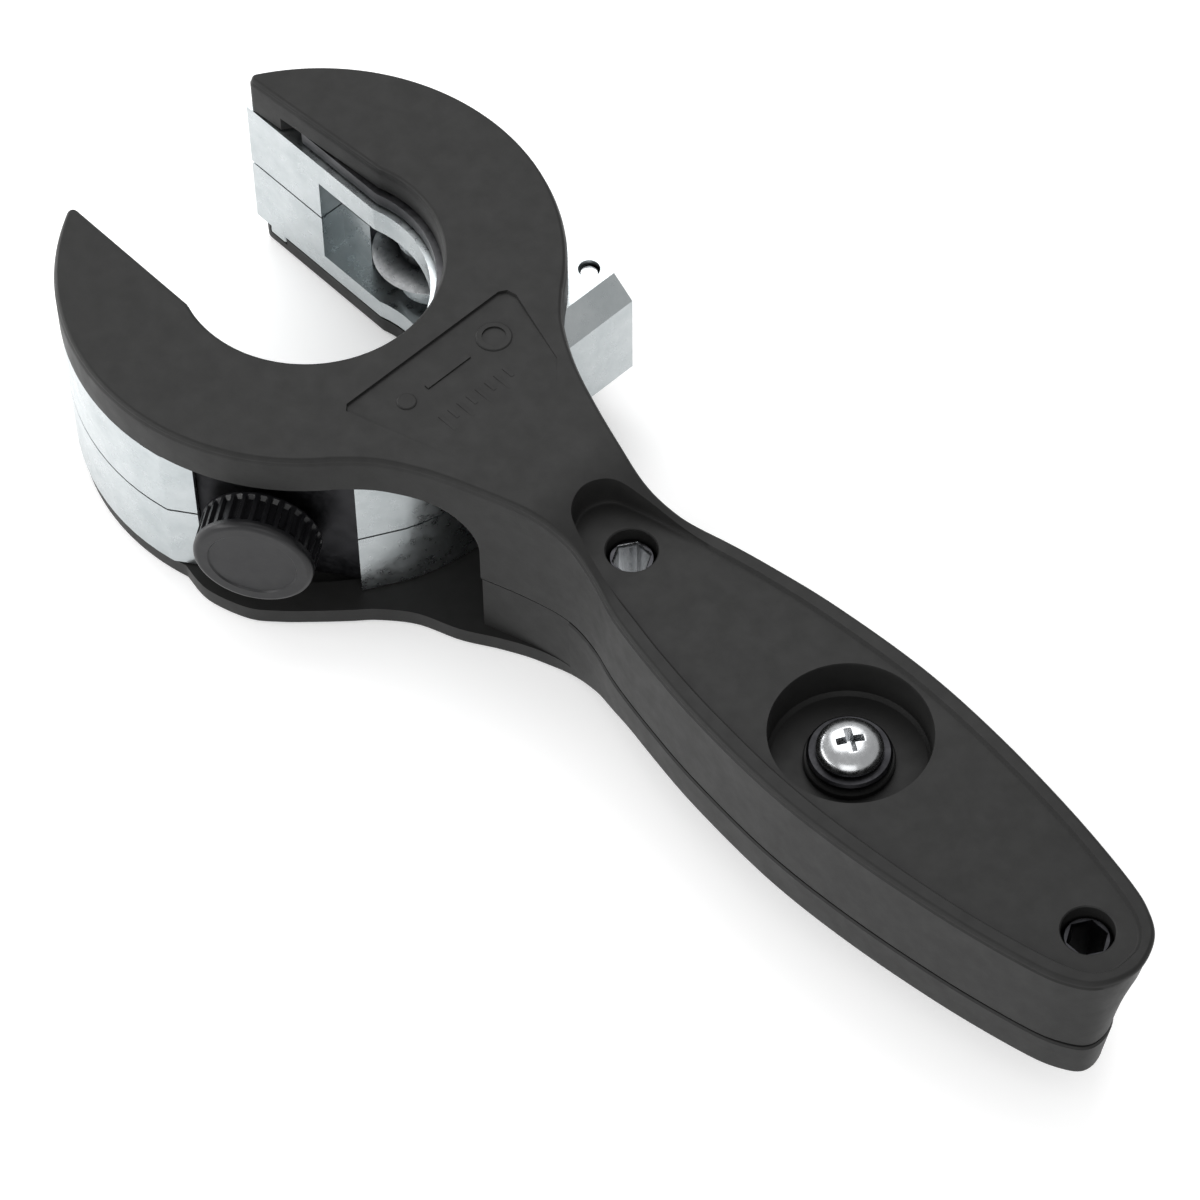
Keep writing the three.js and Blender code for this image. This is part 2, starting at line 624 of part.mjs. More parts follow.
function wheelArm() {
  const link = prism([
    v2(WHEEL_X - 1.0, WHEEL_Y - 4.2), v2(PIVOT_X - 3.2, PIVOT_Y - 6.4), v2(PIVOT_X + 1.6, PIVOT_Y - 3.4),
    v2(PIVOT_X + 2.3, PIVOT_Y - 0.8), v2(PIVOT_X - 2.2, PIVOT_Y + 1.0), v2(PIVOT_X - 5.6, 26.3), v2(WHEEL_X, WHEEL_Y + 4.4),
  ], ARM_BOTTOM, ARM_TOP);
  let arm = link.add(disc(4.4, ARM_BOTTOM, ARM_TOP, WHEEL_X, WHEEL_Y, 28));
  arm = arm.intersect(disc(31.0, 0, 40, 0, 0, 72).add(box(20.3, 25.1, 20, 40, 0, 40)));
  arm = arm.add(disc(2.35, ARM_BOTTOM, ARM_TOP, PIVOT_X, PIVOT_Y, 20));
  arm = arm.subtract(box(WHEEL_X - 10, WHEEL_X + 9.2, 5, 40, 11.9, 17.5));
  arm = arm.subtract(disc(1.5, 0, 40, PIVOT_X, PIVOT_Y, 20));
  arm = arm.subtract(disc(1.8, 0, ARM_TOP - 1.0, WHEEL_X, WHEEL_Y, 20));
  return arm.subtract(armSpringSeat());
}

function armSpringSeat() {
  const g = new THREE.CylinderGeometry(2.5, 2.5, 8, 20);
  return solid(g.translate(ARM_SPRING_X, 28.0, MID));
}

const ARM_SPRING_X = 10.2;

function cuttingWheel() {
  return turned([
    [0, 12.3], [2.6, 12.3], [3.0, 13.3], [WHEEL_R - 1.6, 13.9], [WHEEL_R, MID], [WHEEL_R - 1.6, 15.5], [3.0, 16.1],
    [2.6, 17.1], [0, 17.1],
  ], WHEEL_X, WHEEL_Y, 48).subtract(disc(1.8, 0, 40, WHEEL_X, WHEEL_Y, 20));
}

function wheelAxle() {
  return turned([[0, 7.7], [2.6, 7.7], [2.6, 7.95], [1.5, 7.95], [1.5, 19.3], [0, 19.3]], WHEEL_X, WHEEL_Y, 20);
}

function armPin() {
  return disc(1.2, 9.4, 24.6, PIVOT_X, PIVOT_Y, 16);
}

// Coil spring: a round wire swept along a helix.
class Helix extends THREE.Curve {
  constructor(radius, turns, start, length) {
    super();
    Object.assign(this, { radius, turns, start, length });
  }

  getPoint(t, target = new THREE.Vector3()) {
    const a = 2 * Math.PI * this.turns * t;
    return target.set(this.radius * Math.cos(a), this.start + this.length * t, this.radius * Math.sin(a));
  }
}

function armSpring() {
  const section = new THREE.Shape(arc(0.35, 0, 300, 5));
  const path = new Helix(1.7, 4, 0, 3.6);
  const g = new THREE.ExtrudeGeometry(section, { steps: 56, extrudePath: path, bevelEnabled: false });
  return g.translate(ARM_SPRING_X, 24.65, MID);
}

// ---- Assembly ----

const tool = new THREE.Group();
const handle = new THREE.Group();
const head = new THREE.Group();
const feed = new THREE.Group();
const cutter = new THREE.Group();
head.add(feed, cutter);
tool.add(handle, head);
tool.position.x = HEAD_X;

function place(group, name, body, material) {
  const geometry = body instanceof THREE.BufferGeometry ? body : geometryOf(body);
  const mesh = new THREE.Mesh(geometry, material);
  mesh.name = name;
  group.add(mesh);
}

place(handle, 'front_shell', frontShell(), black);
place(handle, 'back_shell', backShell(), black);
place(handle, 'handle_screw', handleScrew(), steel);
place(handle, 'handle_washer', handleWasher(), blackSteel);
place(handle, 'handle_nut', handleNut(), steel);
place(handle, 'neck_sleeve', sleeve(NECK_HOLE_X, 4.6), blackSteel);
place(handle, 'end_sleeve', sleeve(END_HOLE_X, 7.6), blackSteel);
PAWL_ANGLES.forEach((angle, i) => {
  place(handle, `pawl_${i + 1}`, pawl(angle), toolSteel);
  place(handle, `pawl_pin_${i + 1}`, pawlPin(angle), steel);
  place(handle, `pawl_spring_${i + 1}`, pawlSpring(angle), steel);
});

place(head, 'ring_front', ringFront(), zinc);
place(head, 'ring_back', ringBack(), zinc);
place(head, 'ratchet_ring', ratchetRing(), darkSteel);
GEAR_SCREWS.forEach(([x, y], i) => place(head, `ratchet_screw_${i + 1}`, gearScrew(x, y), steel));
RING_SCREWS.forEach(([x, y], i) => place(head, `ring_screw_${i + 1}`, ringScrew(x, y), steel));

place(feed, 'knob', knob(), knobBlack);
place(feed, 'feed_stem', feedStem(), steel);
place(feed, 'bearing_plate', bearingPlate(), blackSteel);
place(feed, 'neck_clip', neckClip(), steel);
place(feed, 'roller_carriage', carriage(), darkSteel);
place(feed, 'roller_1', roller(-ROLLER_V), toolSteel);
place(feed, 'roller_2', roller(ROLLER_V), toolSteel);
place(feed, 'roller_pin_1', rollerPin(-ROLLER_V), steel);
place(feed, 'roller_pin_2', rollerPin(ROLLER_V), steel);

place(cutter, 'wheel_arm', wheelArm(), zinc);
place(cutter, 'cutting_wheel', cuttingWheel(), darkSteel);
place(cutter, 'wheel_axle', wheelAxle(), steel);
place(cutter, 'arm_pin', armPin(), steel);
place(cutter, 'arm_spring', armSpring(), steel);

export default tool;
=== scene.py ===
"""Looks for the ratcheting tube cutter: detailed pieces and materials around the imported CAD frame."""

import json
import math

import bmesh
import bpy
from mathutils import Matrix, Vector


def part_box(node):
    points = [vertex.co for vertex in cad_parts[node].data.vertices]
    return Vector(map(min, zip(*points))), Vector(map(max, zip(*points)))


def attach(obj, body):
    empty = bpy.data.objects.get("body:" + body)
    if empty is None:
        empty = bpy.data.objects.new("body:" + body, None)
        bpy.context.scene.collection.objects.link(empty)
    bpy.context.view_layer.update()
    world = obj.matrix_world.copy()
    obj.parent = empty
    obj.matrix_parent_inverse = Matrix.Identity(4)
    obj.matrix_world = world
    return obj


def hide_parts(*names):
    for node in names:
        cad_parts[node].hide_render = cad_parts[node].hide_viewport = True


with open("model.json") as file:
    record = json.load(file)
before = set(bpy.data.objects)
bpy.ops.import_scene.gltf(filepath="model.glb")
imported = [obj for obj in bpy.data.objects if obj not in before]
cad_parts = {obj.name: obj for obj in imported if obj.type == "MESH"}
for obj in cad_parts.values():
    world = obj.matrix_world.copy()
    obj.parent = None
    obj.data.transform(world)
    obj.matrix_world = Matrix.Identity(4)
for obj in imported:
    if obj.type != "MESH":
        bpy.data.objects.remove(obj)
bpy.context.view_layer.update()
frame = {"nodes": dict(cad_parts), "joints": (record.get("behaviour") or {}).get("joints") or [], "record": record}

# ---- Driving dimensions: millimetres, measured from the head's axis ----

MM = 0.001
JOINTS = {joint["name"]: joint for joint in frame["joints"]}
HEAD_X = JOINTS["head_turn"]["pos_m"][0] / MM

PLATE_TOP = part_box("front_shell")[1].z / MM
FRONT_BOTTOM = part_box("front_shell")[0].z / MM
BACK_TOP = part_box("back_shell")[1].z / MM
HANDLE_TOP = 27.5
HANDLE_BOTTOM = 6.6
INSET_TOP = 26.9
PLATE_UNDERSIDE = 26.3
BACK_PLATE_TOP = 3.1
GEAR_POCKET_TOP = 28.6
MID = JOINTS["head_turn"]["pos_m"][2] / MM

PLATE_R = 33.5
JAW_HALF = 16.6
JAW_R = 17.5
PRONG_LEAN = 0.07
BACK_JAW_HALF = 14.6
BACK_JAW_R = 15.2
CAVITY_R = 44.4
CAVITY_CORNER = 7.0
GEAR_POCKET_R = 28.0
RIM_ROUND = 0.6
RIM_STEP = 0.72
BACK_ROUND = 0.7
TIP_ROUND = 0.8
BACK_TIP_ROUND = 1.5
WALL_OUT = 0.19
END_TAPER = 1.8
END_PULL = 1.9

NECK_HOLE_X = 60.5
SCREW_X = 99.3
END_HOLE_X = 139.0
RECESS_R = 10.3
RECESS_FLOOR = 20.5
HANDLE_END_X = 147.3

FEED_ANGLE = math.radians(-55)
KNOB_R = 8.2
KNOB_CLEAR = 0.15
KNOB_FACE = 37.6
KNOB_BACK = 31.9
FLUTES = 30
STEM_R = 3.0
STEM_PITCH = 2.5

PAWL_ANGLES = (45, -45)

FRONT_HALF = [
    (26.75, 20.16), (30.8, 16.3), (36.6, 12.9), (43.3, 10.2), (50.3, 7.9), (56.0, 6.8),
    (61.2, 7.4), (67.2, 9.2), (75.0, 10.8), (85.0, 12.3), (98.9, 13.25), (112.0, 12.7),
    (126.0, 11.0), (137.4, 8.8), (142.4, 7.1), (145.5, 4.6), (HANDLE_END_X - 0.3, 0.0),
]
BACK_HALF = [
    (8.67, 32.36), (13.5, 32.9), (19.4, 31.1), (22.9, 28.4), (26.5, 24.7), (29.5, 21.4), (31.8, 18.8),
    (35.9, 15.6), (41.6, 13.3), (46.4, 10.5), (51.2, 8.2), (56.0, 7.1),
    (61.2, 7.7), (67.2, 9.5), (75.0, 11.1), (85.0, 12.6), (98.9, 13.55), (112.0, 13.0),
    (126.0, 11.3), (137.4, 9.1), (142.6, 7.4), (145.7, 4.9), (HANDLE_END_X + 0.05, 0.0),
]
INSET_HALF = [
    (52.0, 0.0), (53.5, 3.4), (57.6, 5.0), (62.0, 6.0), (68.0, 7.2), (75.0, 8.6), (85.0, 10.0), (98.9, 10.95),
    (112.0, 10.45), (126.0, 8.9), (137.0, 6.7), (142.3, 4.9), (144.6, 2.6), (145.0, 0.0),
]


# ---- Curves ----

def polar(radius, degrees):
    angle = math.radians(degrees)
    return (radius * math.cos(angle), radius * math.sin(angle))


def arc(radius, start, end, steps):
    return [polar(radius, start + (end - start) * i / steps) for i in range(steps + 1)]


def smooth_curve(points, steps):
    """Catmull-Rom curve through the points; it crosses the X axis squarely where it ends on it."""
    first, last = (end if end[1] else (near[0], -near[1]) for end, near in
                   ((points[0], points[1]), (points[-1], points[-2])))
    padded = [first, *points, last]
    curve = []
    for i in range(len(points) - 1):
        a, b, c, d = (Vector(p) for p in padded[i:i + 4])
        for k in range(steps):
            t = k / steps
            tangent_in = (c - a) / 2
            tangent_out = (d - b) / 2
            h00 = 2 * t ** 3 - 3 * t ** 2 + 1
            h10 = t ** 3 - 2 * t ** 2 + t
            h01 = 3 * t ** 2 - 2 * t ** 3
            h11 = t ** 3 - t ** 2
            curve.append(tuple(b * h00 + tangent_in * h10 + c * h01 + tangent_out * h11))
    return [*curve, points[-1]]


def mirrored(half):
    """Closes a half outline that starts and ends on the X axis."""
    return half + [(x, -y) for x, y in reversed(half[1:-1])]


def area(loop):
    total = 0.0
    for i, (x0, y0) in enumerate(loop):
        x1, y1 = loop[(i + 1) % len(loop)]
        total += x0 * y1 - x1 * y0
    return total / 2


def inset(loop, distance):
    """Moves every point of a closed outline inwards by the distance."""
    sign = 1 if area(loop) > 0 else -1
    moved = []
    for i, (x, y) in enumerate(loop):
        before = Vector(loop[i - 1])
        after = Vector(loop[(i + 1) % len(loop)])
        along = (after - before).normalized()
        moved.append((x - along.y * sign * distance, y + along.x * sign * distance))
    return moved


def ease(x, x0, x1, z0, z1):
    t = min(1.0, max(0.0, (x - x0) / (x1 - x0)))
    return z0 + (z1 - z0) * (1 - math.cos(math.pi * t)) / 2


def jaw_half(radius, half, tip, lean=0.0):
    """From the jaw's end on the axis, round the jaw arc, out along its side and round the prong's tip."""
    turn = 180 - math.degrees(math.asin(half / radius))
    points = arc(radius, 0, turn, 44)
    start_x, start_y = points[-1]
    centre_x = -math.sqrt((PLATE_R - tip) ** 2 - (half + tip) ** 2)
    side_angle = math.atan(lean)
    for _ in range(3):
        centre_y = start_y - (start_x - centre_x) * lean + tip / math.cos(side_angle)
        centre_x = -math.sqrt((PLATE_R - tip) ** 2 - centre_y ** 2)
    tip_angle = math.degrees(math.atan2(centre_y, centre_x))
    rounded = arc(tip, 270 + math.degrees(side_angle), tip_angle, 6)
    end_x, end_y = (centre_x + rounded[0][0], centre_y + rounded[0][1])
    for i in range(1, 14):
        t = i / 14
        points.append((start_x + (end_x - start_x) * t, start_y + (end_y - start_y) * t))
    points += [(centre_x + x, centre_y + y) for x, y in rounded]
    return points, tip_angle


def plate_outline(half, radius, tip, jaw, far_jaw=None, lean=0.0):
    """Whole outline of a shell: jaw, head circle, neck and handle; the far jaw side can lean in."""
    join = math.degrees(math.atan2(half[0][1], half[0][0]))
    sides = []
    for width, slope in ((far_jaw or jaw, lean), (jaw, 0.0)):
        side, angle = jaw_half(radius, width, tip, slope)
        circle = arc(PLATE_R, angle, join, 64)[1:-1]
        sides.append(side + circle + smooth_curve(half, 9))
    return sides[0] + [(x, -y) for x, y in reversed(sides[1][1:-1])]


def end_taper(loop, share):
    """Draws an outline's handle end inwards on the side away from the knob, fading out towards the middle."""
    inner = inset(loop, END_TAPER)
    moved = []
    for (x, y), (inner_x, inner_y) in zip(loop, inner):
        side = min(1.0, max(0.0, (y + 6) / 9))
        t = share * min(1.0, max(0.0, (x - 108) / 38)) ** 2 * side * side * (3 - 2 * side)
        moved.append((x + (inner_x - END_PULL - x) * t, y + (inner_y - y) * t))
    return moved


# ---- Meshes ----

def place(x, y, z):
    return Vector(((x + HEAD_X) * MM, y * MM, z * MM))


def new_object(name, bm):
    bmesh.ops.recalc_face_normals(bm, faces=bm.faces)
    mesh = bpy.data.meshes.new(name)
    bm.to_mesh(mesh)
    bm.free()
    obj = bpy.data.objects.new(name, mesh)
    bpy.context.scene.collection.objects.link(obj)
    return obj


def loft(name, rings, matrix=None):
    """Closed solid through rings of 3D points, each ring with as many points; its ends are capped flat."""
    bm = bmesh.new()
    rows = []
    for ring in rings:
        points = [Vector(p) for p in ring]
        if matrix:
            points = [matrix @ p for p in points]
        rows.append([bm.verts.new(place(*p)) for p in points])
    for a, b in zip(rows, rows[1:]):
        for i in range(len(a)):
            j = (i + 1) % len(a)
            bm.faces.new((a[i], a[j], b[j], b[i]))
    bm.faces.new(reversed(rows[0]))
    bm.faces.new(rows[-1])
    return new_object(name, bm)


def prism(name, loop, z0, z1):
    return loft(name, [[(x, y, z) for x, y in loop] for z in (z0, z1)])


def lathe(name, profile, x=0.0, y=0.0, segments=96, matrix=None):
    """Solid of revolution round a Z-parallel axis; the profile is (radius, z) and its ends are capped."""
    rings = []
    for radius, z in profile:
        ring = []
        for i in range(segments):
            angle = 2 * math.pi * i / segments
            ring.append((x + radius * math.cos(angle), y + radius * math.sin(angle), z))
        rings.append(ring)
    return loft(name, rings, matrix)


def box(name, x0, x1, y0, y1, z0, z1, matrix=None):
    loop = [(x0, y0), (x1, y0), (x1, y1), (x0, y1)]
    return loft(name, [[(x, y, z) for x, y in loop] for z in (z0, z1)], matrix)


def combine(obj, operation, *tools):
    """Applies one exact boolean for each tool, then removes the tools."""
    for tool in tools:
        modifier = obj.modifiers.new("boolean", "BOOLEAN")
        modifier.operation = operation
        modifier.solver = "EXACT"
        modifier.object = tool
    bake(obj)
    for tool in tools:
        bpy.data.objects.remove(tool)
    return obj


def bake(obj):
    """Turns an object's modifiers into its mesh."""
    depsgraph = bpy.context.evaluated_depsgraph_get()
    mesh = bpy.data.meshes.new_from_object(obj.evaluated_get(depsgraph))
    obj.modifiers.clear()
    obj.data = mesh


def soften(obj, width=0.0, angle=32, segments=2):
    """Cleans a mesh, rounds its edges by the width and shades it smooth between sharp edges."""
    bm = bmesh.new()
    bm.from_mesh(obj.data)
    bmesh.ops.remove_doubles(bm, verts=bm.verts, dist=0.008 * MM)
    if width:
        bmesh.ops.dissolve_limit(bm, angle_limit=math.radians(0.4), verts=bm.verts, edges=bm.edges)
    bm.to_mesh(obj.data)
    bm.free()
    if width:
        modifier = obj.modifiers.new("round", "BEVEL")
        modifier.width = width * MM
        modifier.segments = segments
        modifier.limit_method = "ANGLE"
        modifier.angle_limit = math.radians(angle)
        modifier.use_clamp_overlap = True
        modifier.miter_outer = "MITER_ARC"
        bake(obj)
    bm = bmesh.new()
    bm.from_mesh(obj.data)
    for face in bm.faces:
        face.smooth = True
    for edge in bm.edges:
        edge.smooth = len(edge.link_faces) == 2 and edge.calc_face_angle(0) < math.radians(angle)
    bm.to_mesh(obj.data)
    bm.free()
    weight = obj.modifiers.new("normals", "WEIGHTED_NORMAL")
    weight.keep_sharp = True
    return obj


def finish_piece(obj, node, material):
    """Puts a new piece in a CAD node's place, on that node's body and material."""
    obj.data.materials.clear()
    obj.data.materials.append(material)
    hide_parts(node)
    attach(obj, BODY_OF[node])
    return obj


def refined(node, material, width=0.25, segments=2):
    """A piece with the CAD node's own shape, its flat faces joined up and its edges rounded."""
    mesh = frame["nodes"][node].data.copy()
    obj = bpy.data.objects.new(node + "_piece", mesh)
    bpy.context.scene.collection.objects.link(obj)
    if mesh.has_custom_normals:
        for attribute in ("custom_normal",):
            if attribute in mesh.attributes:
                mesh.attributes.remove(mesh.attributes[attribute])
    bm = bmesh.new()
    bm.from_mesh(mesh)
    bmesh.ops.remove_doubles(bm, verts=bm.verts, dist=0.002 * MM)
    bm.to_mesh(mesh)
    bm.free()
    soften(obj, width, 32, segments)
    return finish_piece(obj, node, material)


BODY_OF = {
    node: body
    for body, members in frame["record"]["behaviour"]["bodies"].items()
    for node in members
}


# ---- Materials ----

class Nodes:
    """A short way to build a material's node tree."""

    def __init__(self, name):
        self.material = bpy.data.materials.new(name)
        self.material.use_nodes = True
        self.tree = self.material.node_tree
        self.shader = self.tree.nodes["Principled BSDF"]
        self.place = self.add("ShaderNodeTexCoord").outputs["Object"]

    def add(self, kind, **values):
        node = self.tree.nodes.new(kind)
        for key, value in values.items():
            setattr(node, key, value)
        return node

    def link(self, output, target):
        self.tree.links.new(output, target)

    def noise(self, scale, detail=4.0, roughness=0.6, stretch=None):
        """Noise whose scale counts features for each millimetre; stretch squeezes it along an axis."""
        node = self.add("ShaderNodeTexNoise")
        node.inputs["Scale"].default_value = scale / MM
        node.inputs["Detail"].default_value = detail
        node.inputs["Roughness"].default_value = roughness
        source = self.place
        if stretch:
            mapping = self.add("ShaderNodeMapping")
            mapping.inputs["Scale"].default_value = stretch
            self.link(source, mapping.inputs["Vector"])
            source = mapping.outputs["Vector"]
        self.link(source, node.inputs["Vector"])
        return node.outputs["Fac"]

    def spread(self, source, low, high, start=0.35, end=0.65):
        """Maps a 0-1 value to a range."""
        node = self.add("ShaderNodeMapRange")
        node.inputs["From Min"].default_value = start
        node.inputs["From Max"].default_value = end
        node.inputs["To Min"].default_value = low
        node.inputs["To Max"].default_value = high
        self.link(source, node.inputs["Value"])
        return node.outputs["Result"]

    def tint(self, source, dark, light, start=0.35, end=0.65):
        node = self.add("ShaderNodeValToRGB")
        node.color_ramp.elements[0].position = start
        node.color_ramp.elements[1].position = end
        node.color_ramp.elements[0].color = (*dark, 1)
        node.color_ramp.elements[1].color = (*light, 1)
        self.link(source, node.inputs["Fac"])
        return node.outputs["Color"]

    def bump(self, height, strength, depth, normal=None):
        node = self.add("ShaderNodeBump")
        node.inputs["Strength"].default_value = strength
        node.inputs["Distance"].default_value = depth * MM
        self.link(height, node.inputs["Height"])
        if normal:
            self.link(normal, node.inputs["Normal"])
        return node.outputs["Normal"]

    def set(self, **values):
        for key, value in values.items():
            self.shader.inputs[key.replace("_", " ")].default_value = value

    def colour(self, source):
        self.link(source, self.shader.inputs["Base Color"])

    def rough(self, source):
        self.link(source, self.shader.inputs["Roughness"])

    def normal(self, source):
        self.link(source, self.shader.inputs["Normal"])


def moulded_plastic(name, dark, light, rough_low, rough_high, grain, shine=0.18):
    n = Nodes(name)
    n.colour(n.tint(n.noise(0.5, 6.0), dark, light))
    n.rough(n.spread(n.noise(0.35, 6.0), rough_low, rough_high))
    fine = n.bump(n.noise(2.6, 3.0, 0.5), grain, 0.05)
    n.normal(n.bump(n.noise(0.05, 2.0, 0.4), 0.04, 0.1, fine))
    n.set(Specular_IOR_Level=shine)
    return n.material


def zinc_casting():
    n = Nodes("bright_zinc")
    n.colour(n.tint(n.noise(0.14, 6.0, 0.7), (0.43, 0.465, 0.475), (0.52, 0.55, 0.56)))
    n.rough(n.spread(n.noise(0.5, 6.0, 0.7), 0.24, 0.38))
    n.normal(n.bump(n.noise(0.16, 2.0, 0.4), 0.1, 0.12))
    n.set(Metallic=1.0)
    return n.material


def steel(name, dark, light, rough_low, rough_high, stretch=(1, 1, 14), depth=0.03):
    n = Nodes(name)
    n.colour(n.tint(n.noise(0.3, 5.0), dark, light))
    n.rough(n.spread(n.noise(1.2, 5.0), rough_low, rough_high))
    n.normal(n.bump(n.noise(1.6, 5.0, 0.6, stretch), 0.2, depth))
    n.set(Metallic=1.0)
    return n.material


def facing_up(n, low, high):
    """1 where a surface lies level, 0 where it leans by more than the limits allow."""
    split = n.add("ShaderNodeSeparateXYZ")
    n.link(n.add("ShaderNodeNewGeometry").outputs["Normal"], split.inputs["Vector"])
    size = n.add("ShaderNodeMath", operation="ABSOLUTE")
    n.link(split.outputs["Z"], size.inputs[0])
    return n.spread(size.outputs["Value"], 0.0, 1.0, low, high)


def mixed(n, share, low, high):
    mix = n.add("ShaderNodeMix", data_type="RGBA")
    n.link(share, mix.inputs["Factor"])
    n.link(low, mix.inputs[6])
    n.link(high, mix.inputs[7])
    return mix.outputs[2]


def wheel_steel():
    """Blackened tool steel with a bright ground bevel."""
    n = Nodes("wheel_steel")
    ground = n.tint(n.noise(1.5, 4.0), (0.42, 0.43, 0.44), (0.55, 0.56, 0.57))
    sides = n.tint(n.noise(0.3, 5.0), (0.018, 0.018, 0.019), (0.035, 0.035, 0.037))
    n.colour(mixed(n, facing_up(n, 0.94, 0.985), ground, sides))
    n.rough(n.spread(n.noise(1.2, 5.0), 0.26, 0.4))
    n.set(Metallic=1.0)
    return n.material


def sleeve_steel_painted_bore():
    """Plated steel with its bore painted bright, a painted reflection of the light seen down the bore; blackened
    on its ends.
    """
    n = Nodes("sleeve_steel_painted_bore")
    # Near-white bore colour: painted reflection standing in for light reaching into the bore.
    bore = n.tint(n.noise(0.8, 4.0), (0.86, 0.87, 0.88), (0.93, 0.94, 0.95))
    ends = n.tint(n.noise(0.3, 5.0), (0.018, 0.018, 0.02), (0.035, 0.035, 0.038))
    n.colour(mixed(n, facing_up(n, 0.4, 0.6), bore, ends))
    n.rough(n.spread(n.noise(1.2, 5.0), 0.12, 0.22))
    n.set(Metallic=1.0)
    return n.material


def floor_paint():
    n = Nodes("floor_paint")
    n.colour(n.tint(n.noise(0.004, 3.0), (0.86, 0.86, 0.86), (0.88, 0.88, 0.88)))
    n.set(Roughness=0.8, Emission_Color=(1, 1, 1, 1), Emission_Strength=0.3)
    return n.material


BLACK = moulded_plastic("black_moulding", (0.0150, 0.0150, 0.0147), (0.0175, 0.0175, 0.0172),
                        0.46, 0.54, 0.12)
KNOB_BLACK = moulded_plastic("knob_moulding", (0.006, 0.006, 0.007), (0.010, 0.010, 0.011),
                             0.3, 0.4, 0.06, 0.3)
ZINC = zinc_casting()
BRIGHT = steel("bright_steel", (0.44, 0.45, 0.46), (0.52, 0.53, 0.54), 0.2, 0.3, (1, 1, 3), 0.004)
TOOL = steel("tool_steel", (0.16, 0.165, 0.17), (0.26, 0.265, 0.27), 0.24, 0.38)
DARK = steel("dark_steel", (0.05, 0.05, 0.053), (0.09, 0.09, 0.094), 0.34, 0.5)
SLEEVE_PAINTED_BORE = sleeve_steel_painted_bore()
OXIDE = steel("black_oxide", (0.018, 0.018, 0.02), (0.035, 0.035, 0.038), 0.36, 0.52)


# ---- Handle shells ----

def front_top(x):
    return ease(x, 48, 67, PLATE_TOP, HANDLE_TOP)


def back_bottom(x):
    return ease(x, 51, 72, 0.0, HANDLE_BOTTOM)


def shell_solid(name, loop, levels):
    """Solid between outline levels: each is an inset, a height function along X and a share of end taper."""
    bm = bmesh.new()
    rows = []
    for distance, height, taper in levels:
        ring = inset(loop, distance) if distance else loop
        heights = [height(x) for x, y in ring]
        if taper:
            ring = end_taper(ring, taper)
        rows.append([bm.verts.new(place(x, y, z)) for (x, y), z in zip(ring, heights)])
    count = len(loop)
    for a, b in zip(rows, rows[1:]):
        for i in range(count):
            j = (i + 1) % count
            bm.faces.new((a[i], a[j], b[j], b[i]))
    middle = count // 2
    split = next(i for i in range(middle, 0, -1) if loop[i][0] < 46)
    tail = next(i for i in range(middle, 0, -1) if loop[i][0] < 138)
    for row in (rows[0], rows[-1]):
        bm.faces.new(row[:split + 1] + row[count - split:])
        for i in range(split, tail):
            bm.faces.new((row[i], row[i + 1], row[count - i - 1], row[count - i]))
        bm.faces.new(row[tail:count - tail + 1])
    return new_object(name, bm)


def rounded_rim(height, direction, radius, start=0.0):
    """Levels that round an edge over: direction is +1 for a top rim and -1 for a bottom rim."""
    levels = []
    for i in range(5):
        a = math.pi / 2 * i / 4
        drop = radius * (1 - math.sin(a))
        levels.append((start + radius * (1 - math.cos(a)), lambda x, drop=drop: height(x) - direction * drop))
    return levels


def wall_height(share):
    """Height between the front shell's parting edge and its rim."""
    return lambda x: FRONT_BOTTOM + (front_top(x) - RIM_STEP - FRONT_BOTTOM) * share


def panel_cutter():
    """Shallow panel for the size marks: its floor slopes up and fades out towards the handle."""
    loop = [(22.2, -13.6), (37.6, -8.8), (37.6, 8.8), (34.6, 11.6), (23.4, 14.9), (22.0, 14.6), (21.4, 13.6),
            (21.4, -12.8)]
    low = [(x, y, PLATE_TOP - 0.42 + 0.4 * max(0, x - 24) / 13.6) for x, y in loop]
    high = [(x + (x - 29) * 0.02, y * 1.03, PLATE_TOP + 1) for x, y in loop]
    return loft("panel", [low, high])


def size_marks():
    """Raised marks: a small and a large tube section joined by a bar, over a row of graduations."""
    low = PLATE_TOP - 0.7
    high = PLATE_TOP - 0.1
    marks = [
        lathe("mark", [(1.3, low), (1.3, high - 0.1), (1.15, high)], 26.3, -7.0, 32),
        box("mark", 26.0, 26.7, -3.6, 3.8, low, high),
    ]
    rim = lathe("mark", [(2.4, low), (2.4, high - 0.1), (2.25, high)], 26.3, 8.3, 48)
    marks.append(combine(rim, "DIFFERENCE", lathe("hole", [(1.6, low - 1), (1.6, high + 1)], 26.3, 8.3, 48)))
    for i in range(8):
        y = -5.6 + 1.6 * i
        marks.append(box("mark", 31.0, 32.8 if i % 2 else 34.0, y - 0.25, y + 0.25, low, high))
    return marks


def cavity_cutter():
    """The room in which the head turns, with a rounded corner at the neck under the front plate."""
    profile = [(0.01, -1), (CAVITY_R, -1)]
    for i in range(13):
        a = math.pi / 2 * i / 12
        profile.append((CAVITY_R - CAVITY_CORNER + CAVITY_CORNER * math.cos(a),
                        PLATE_UNDERSIDE - CAVITY_CORNER + CAVITY_CORNER * math.sin(a)))
    profile.append((0.01, PLATE_UNDERSIDE))
    return lathe("cavity", profile, segments=192)


def pawl_cutters(angle):
    corners = ((27.0, 1.6), (31.7, 1.6), (32.1, -8), (32.3, -20.2), (30.6, -22.6), (28.2, -21.9), (27.0, -16))
    loop = [polar(radius, angle + turn) for radius, turn in corners]
    pivot = polar(30.0, angle - 17.6)
    return [
        prism("pocket", loop, PLATE_UNDERSIDE - 1, GEAR_POCKET_TOP),
        lathe("pin_hole", [(1.25, 20), (1.25, 30.4)], *pivot, 24),
    ]


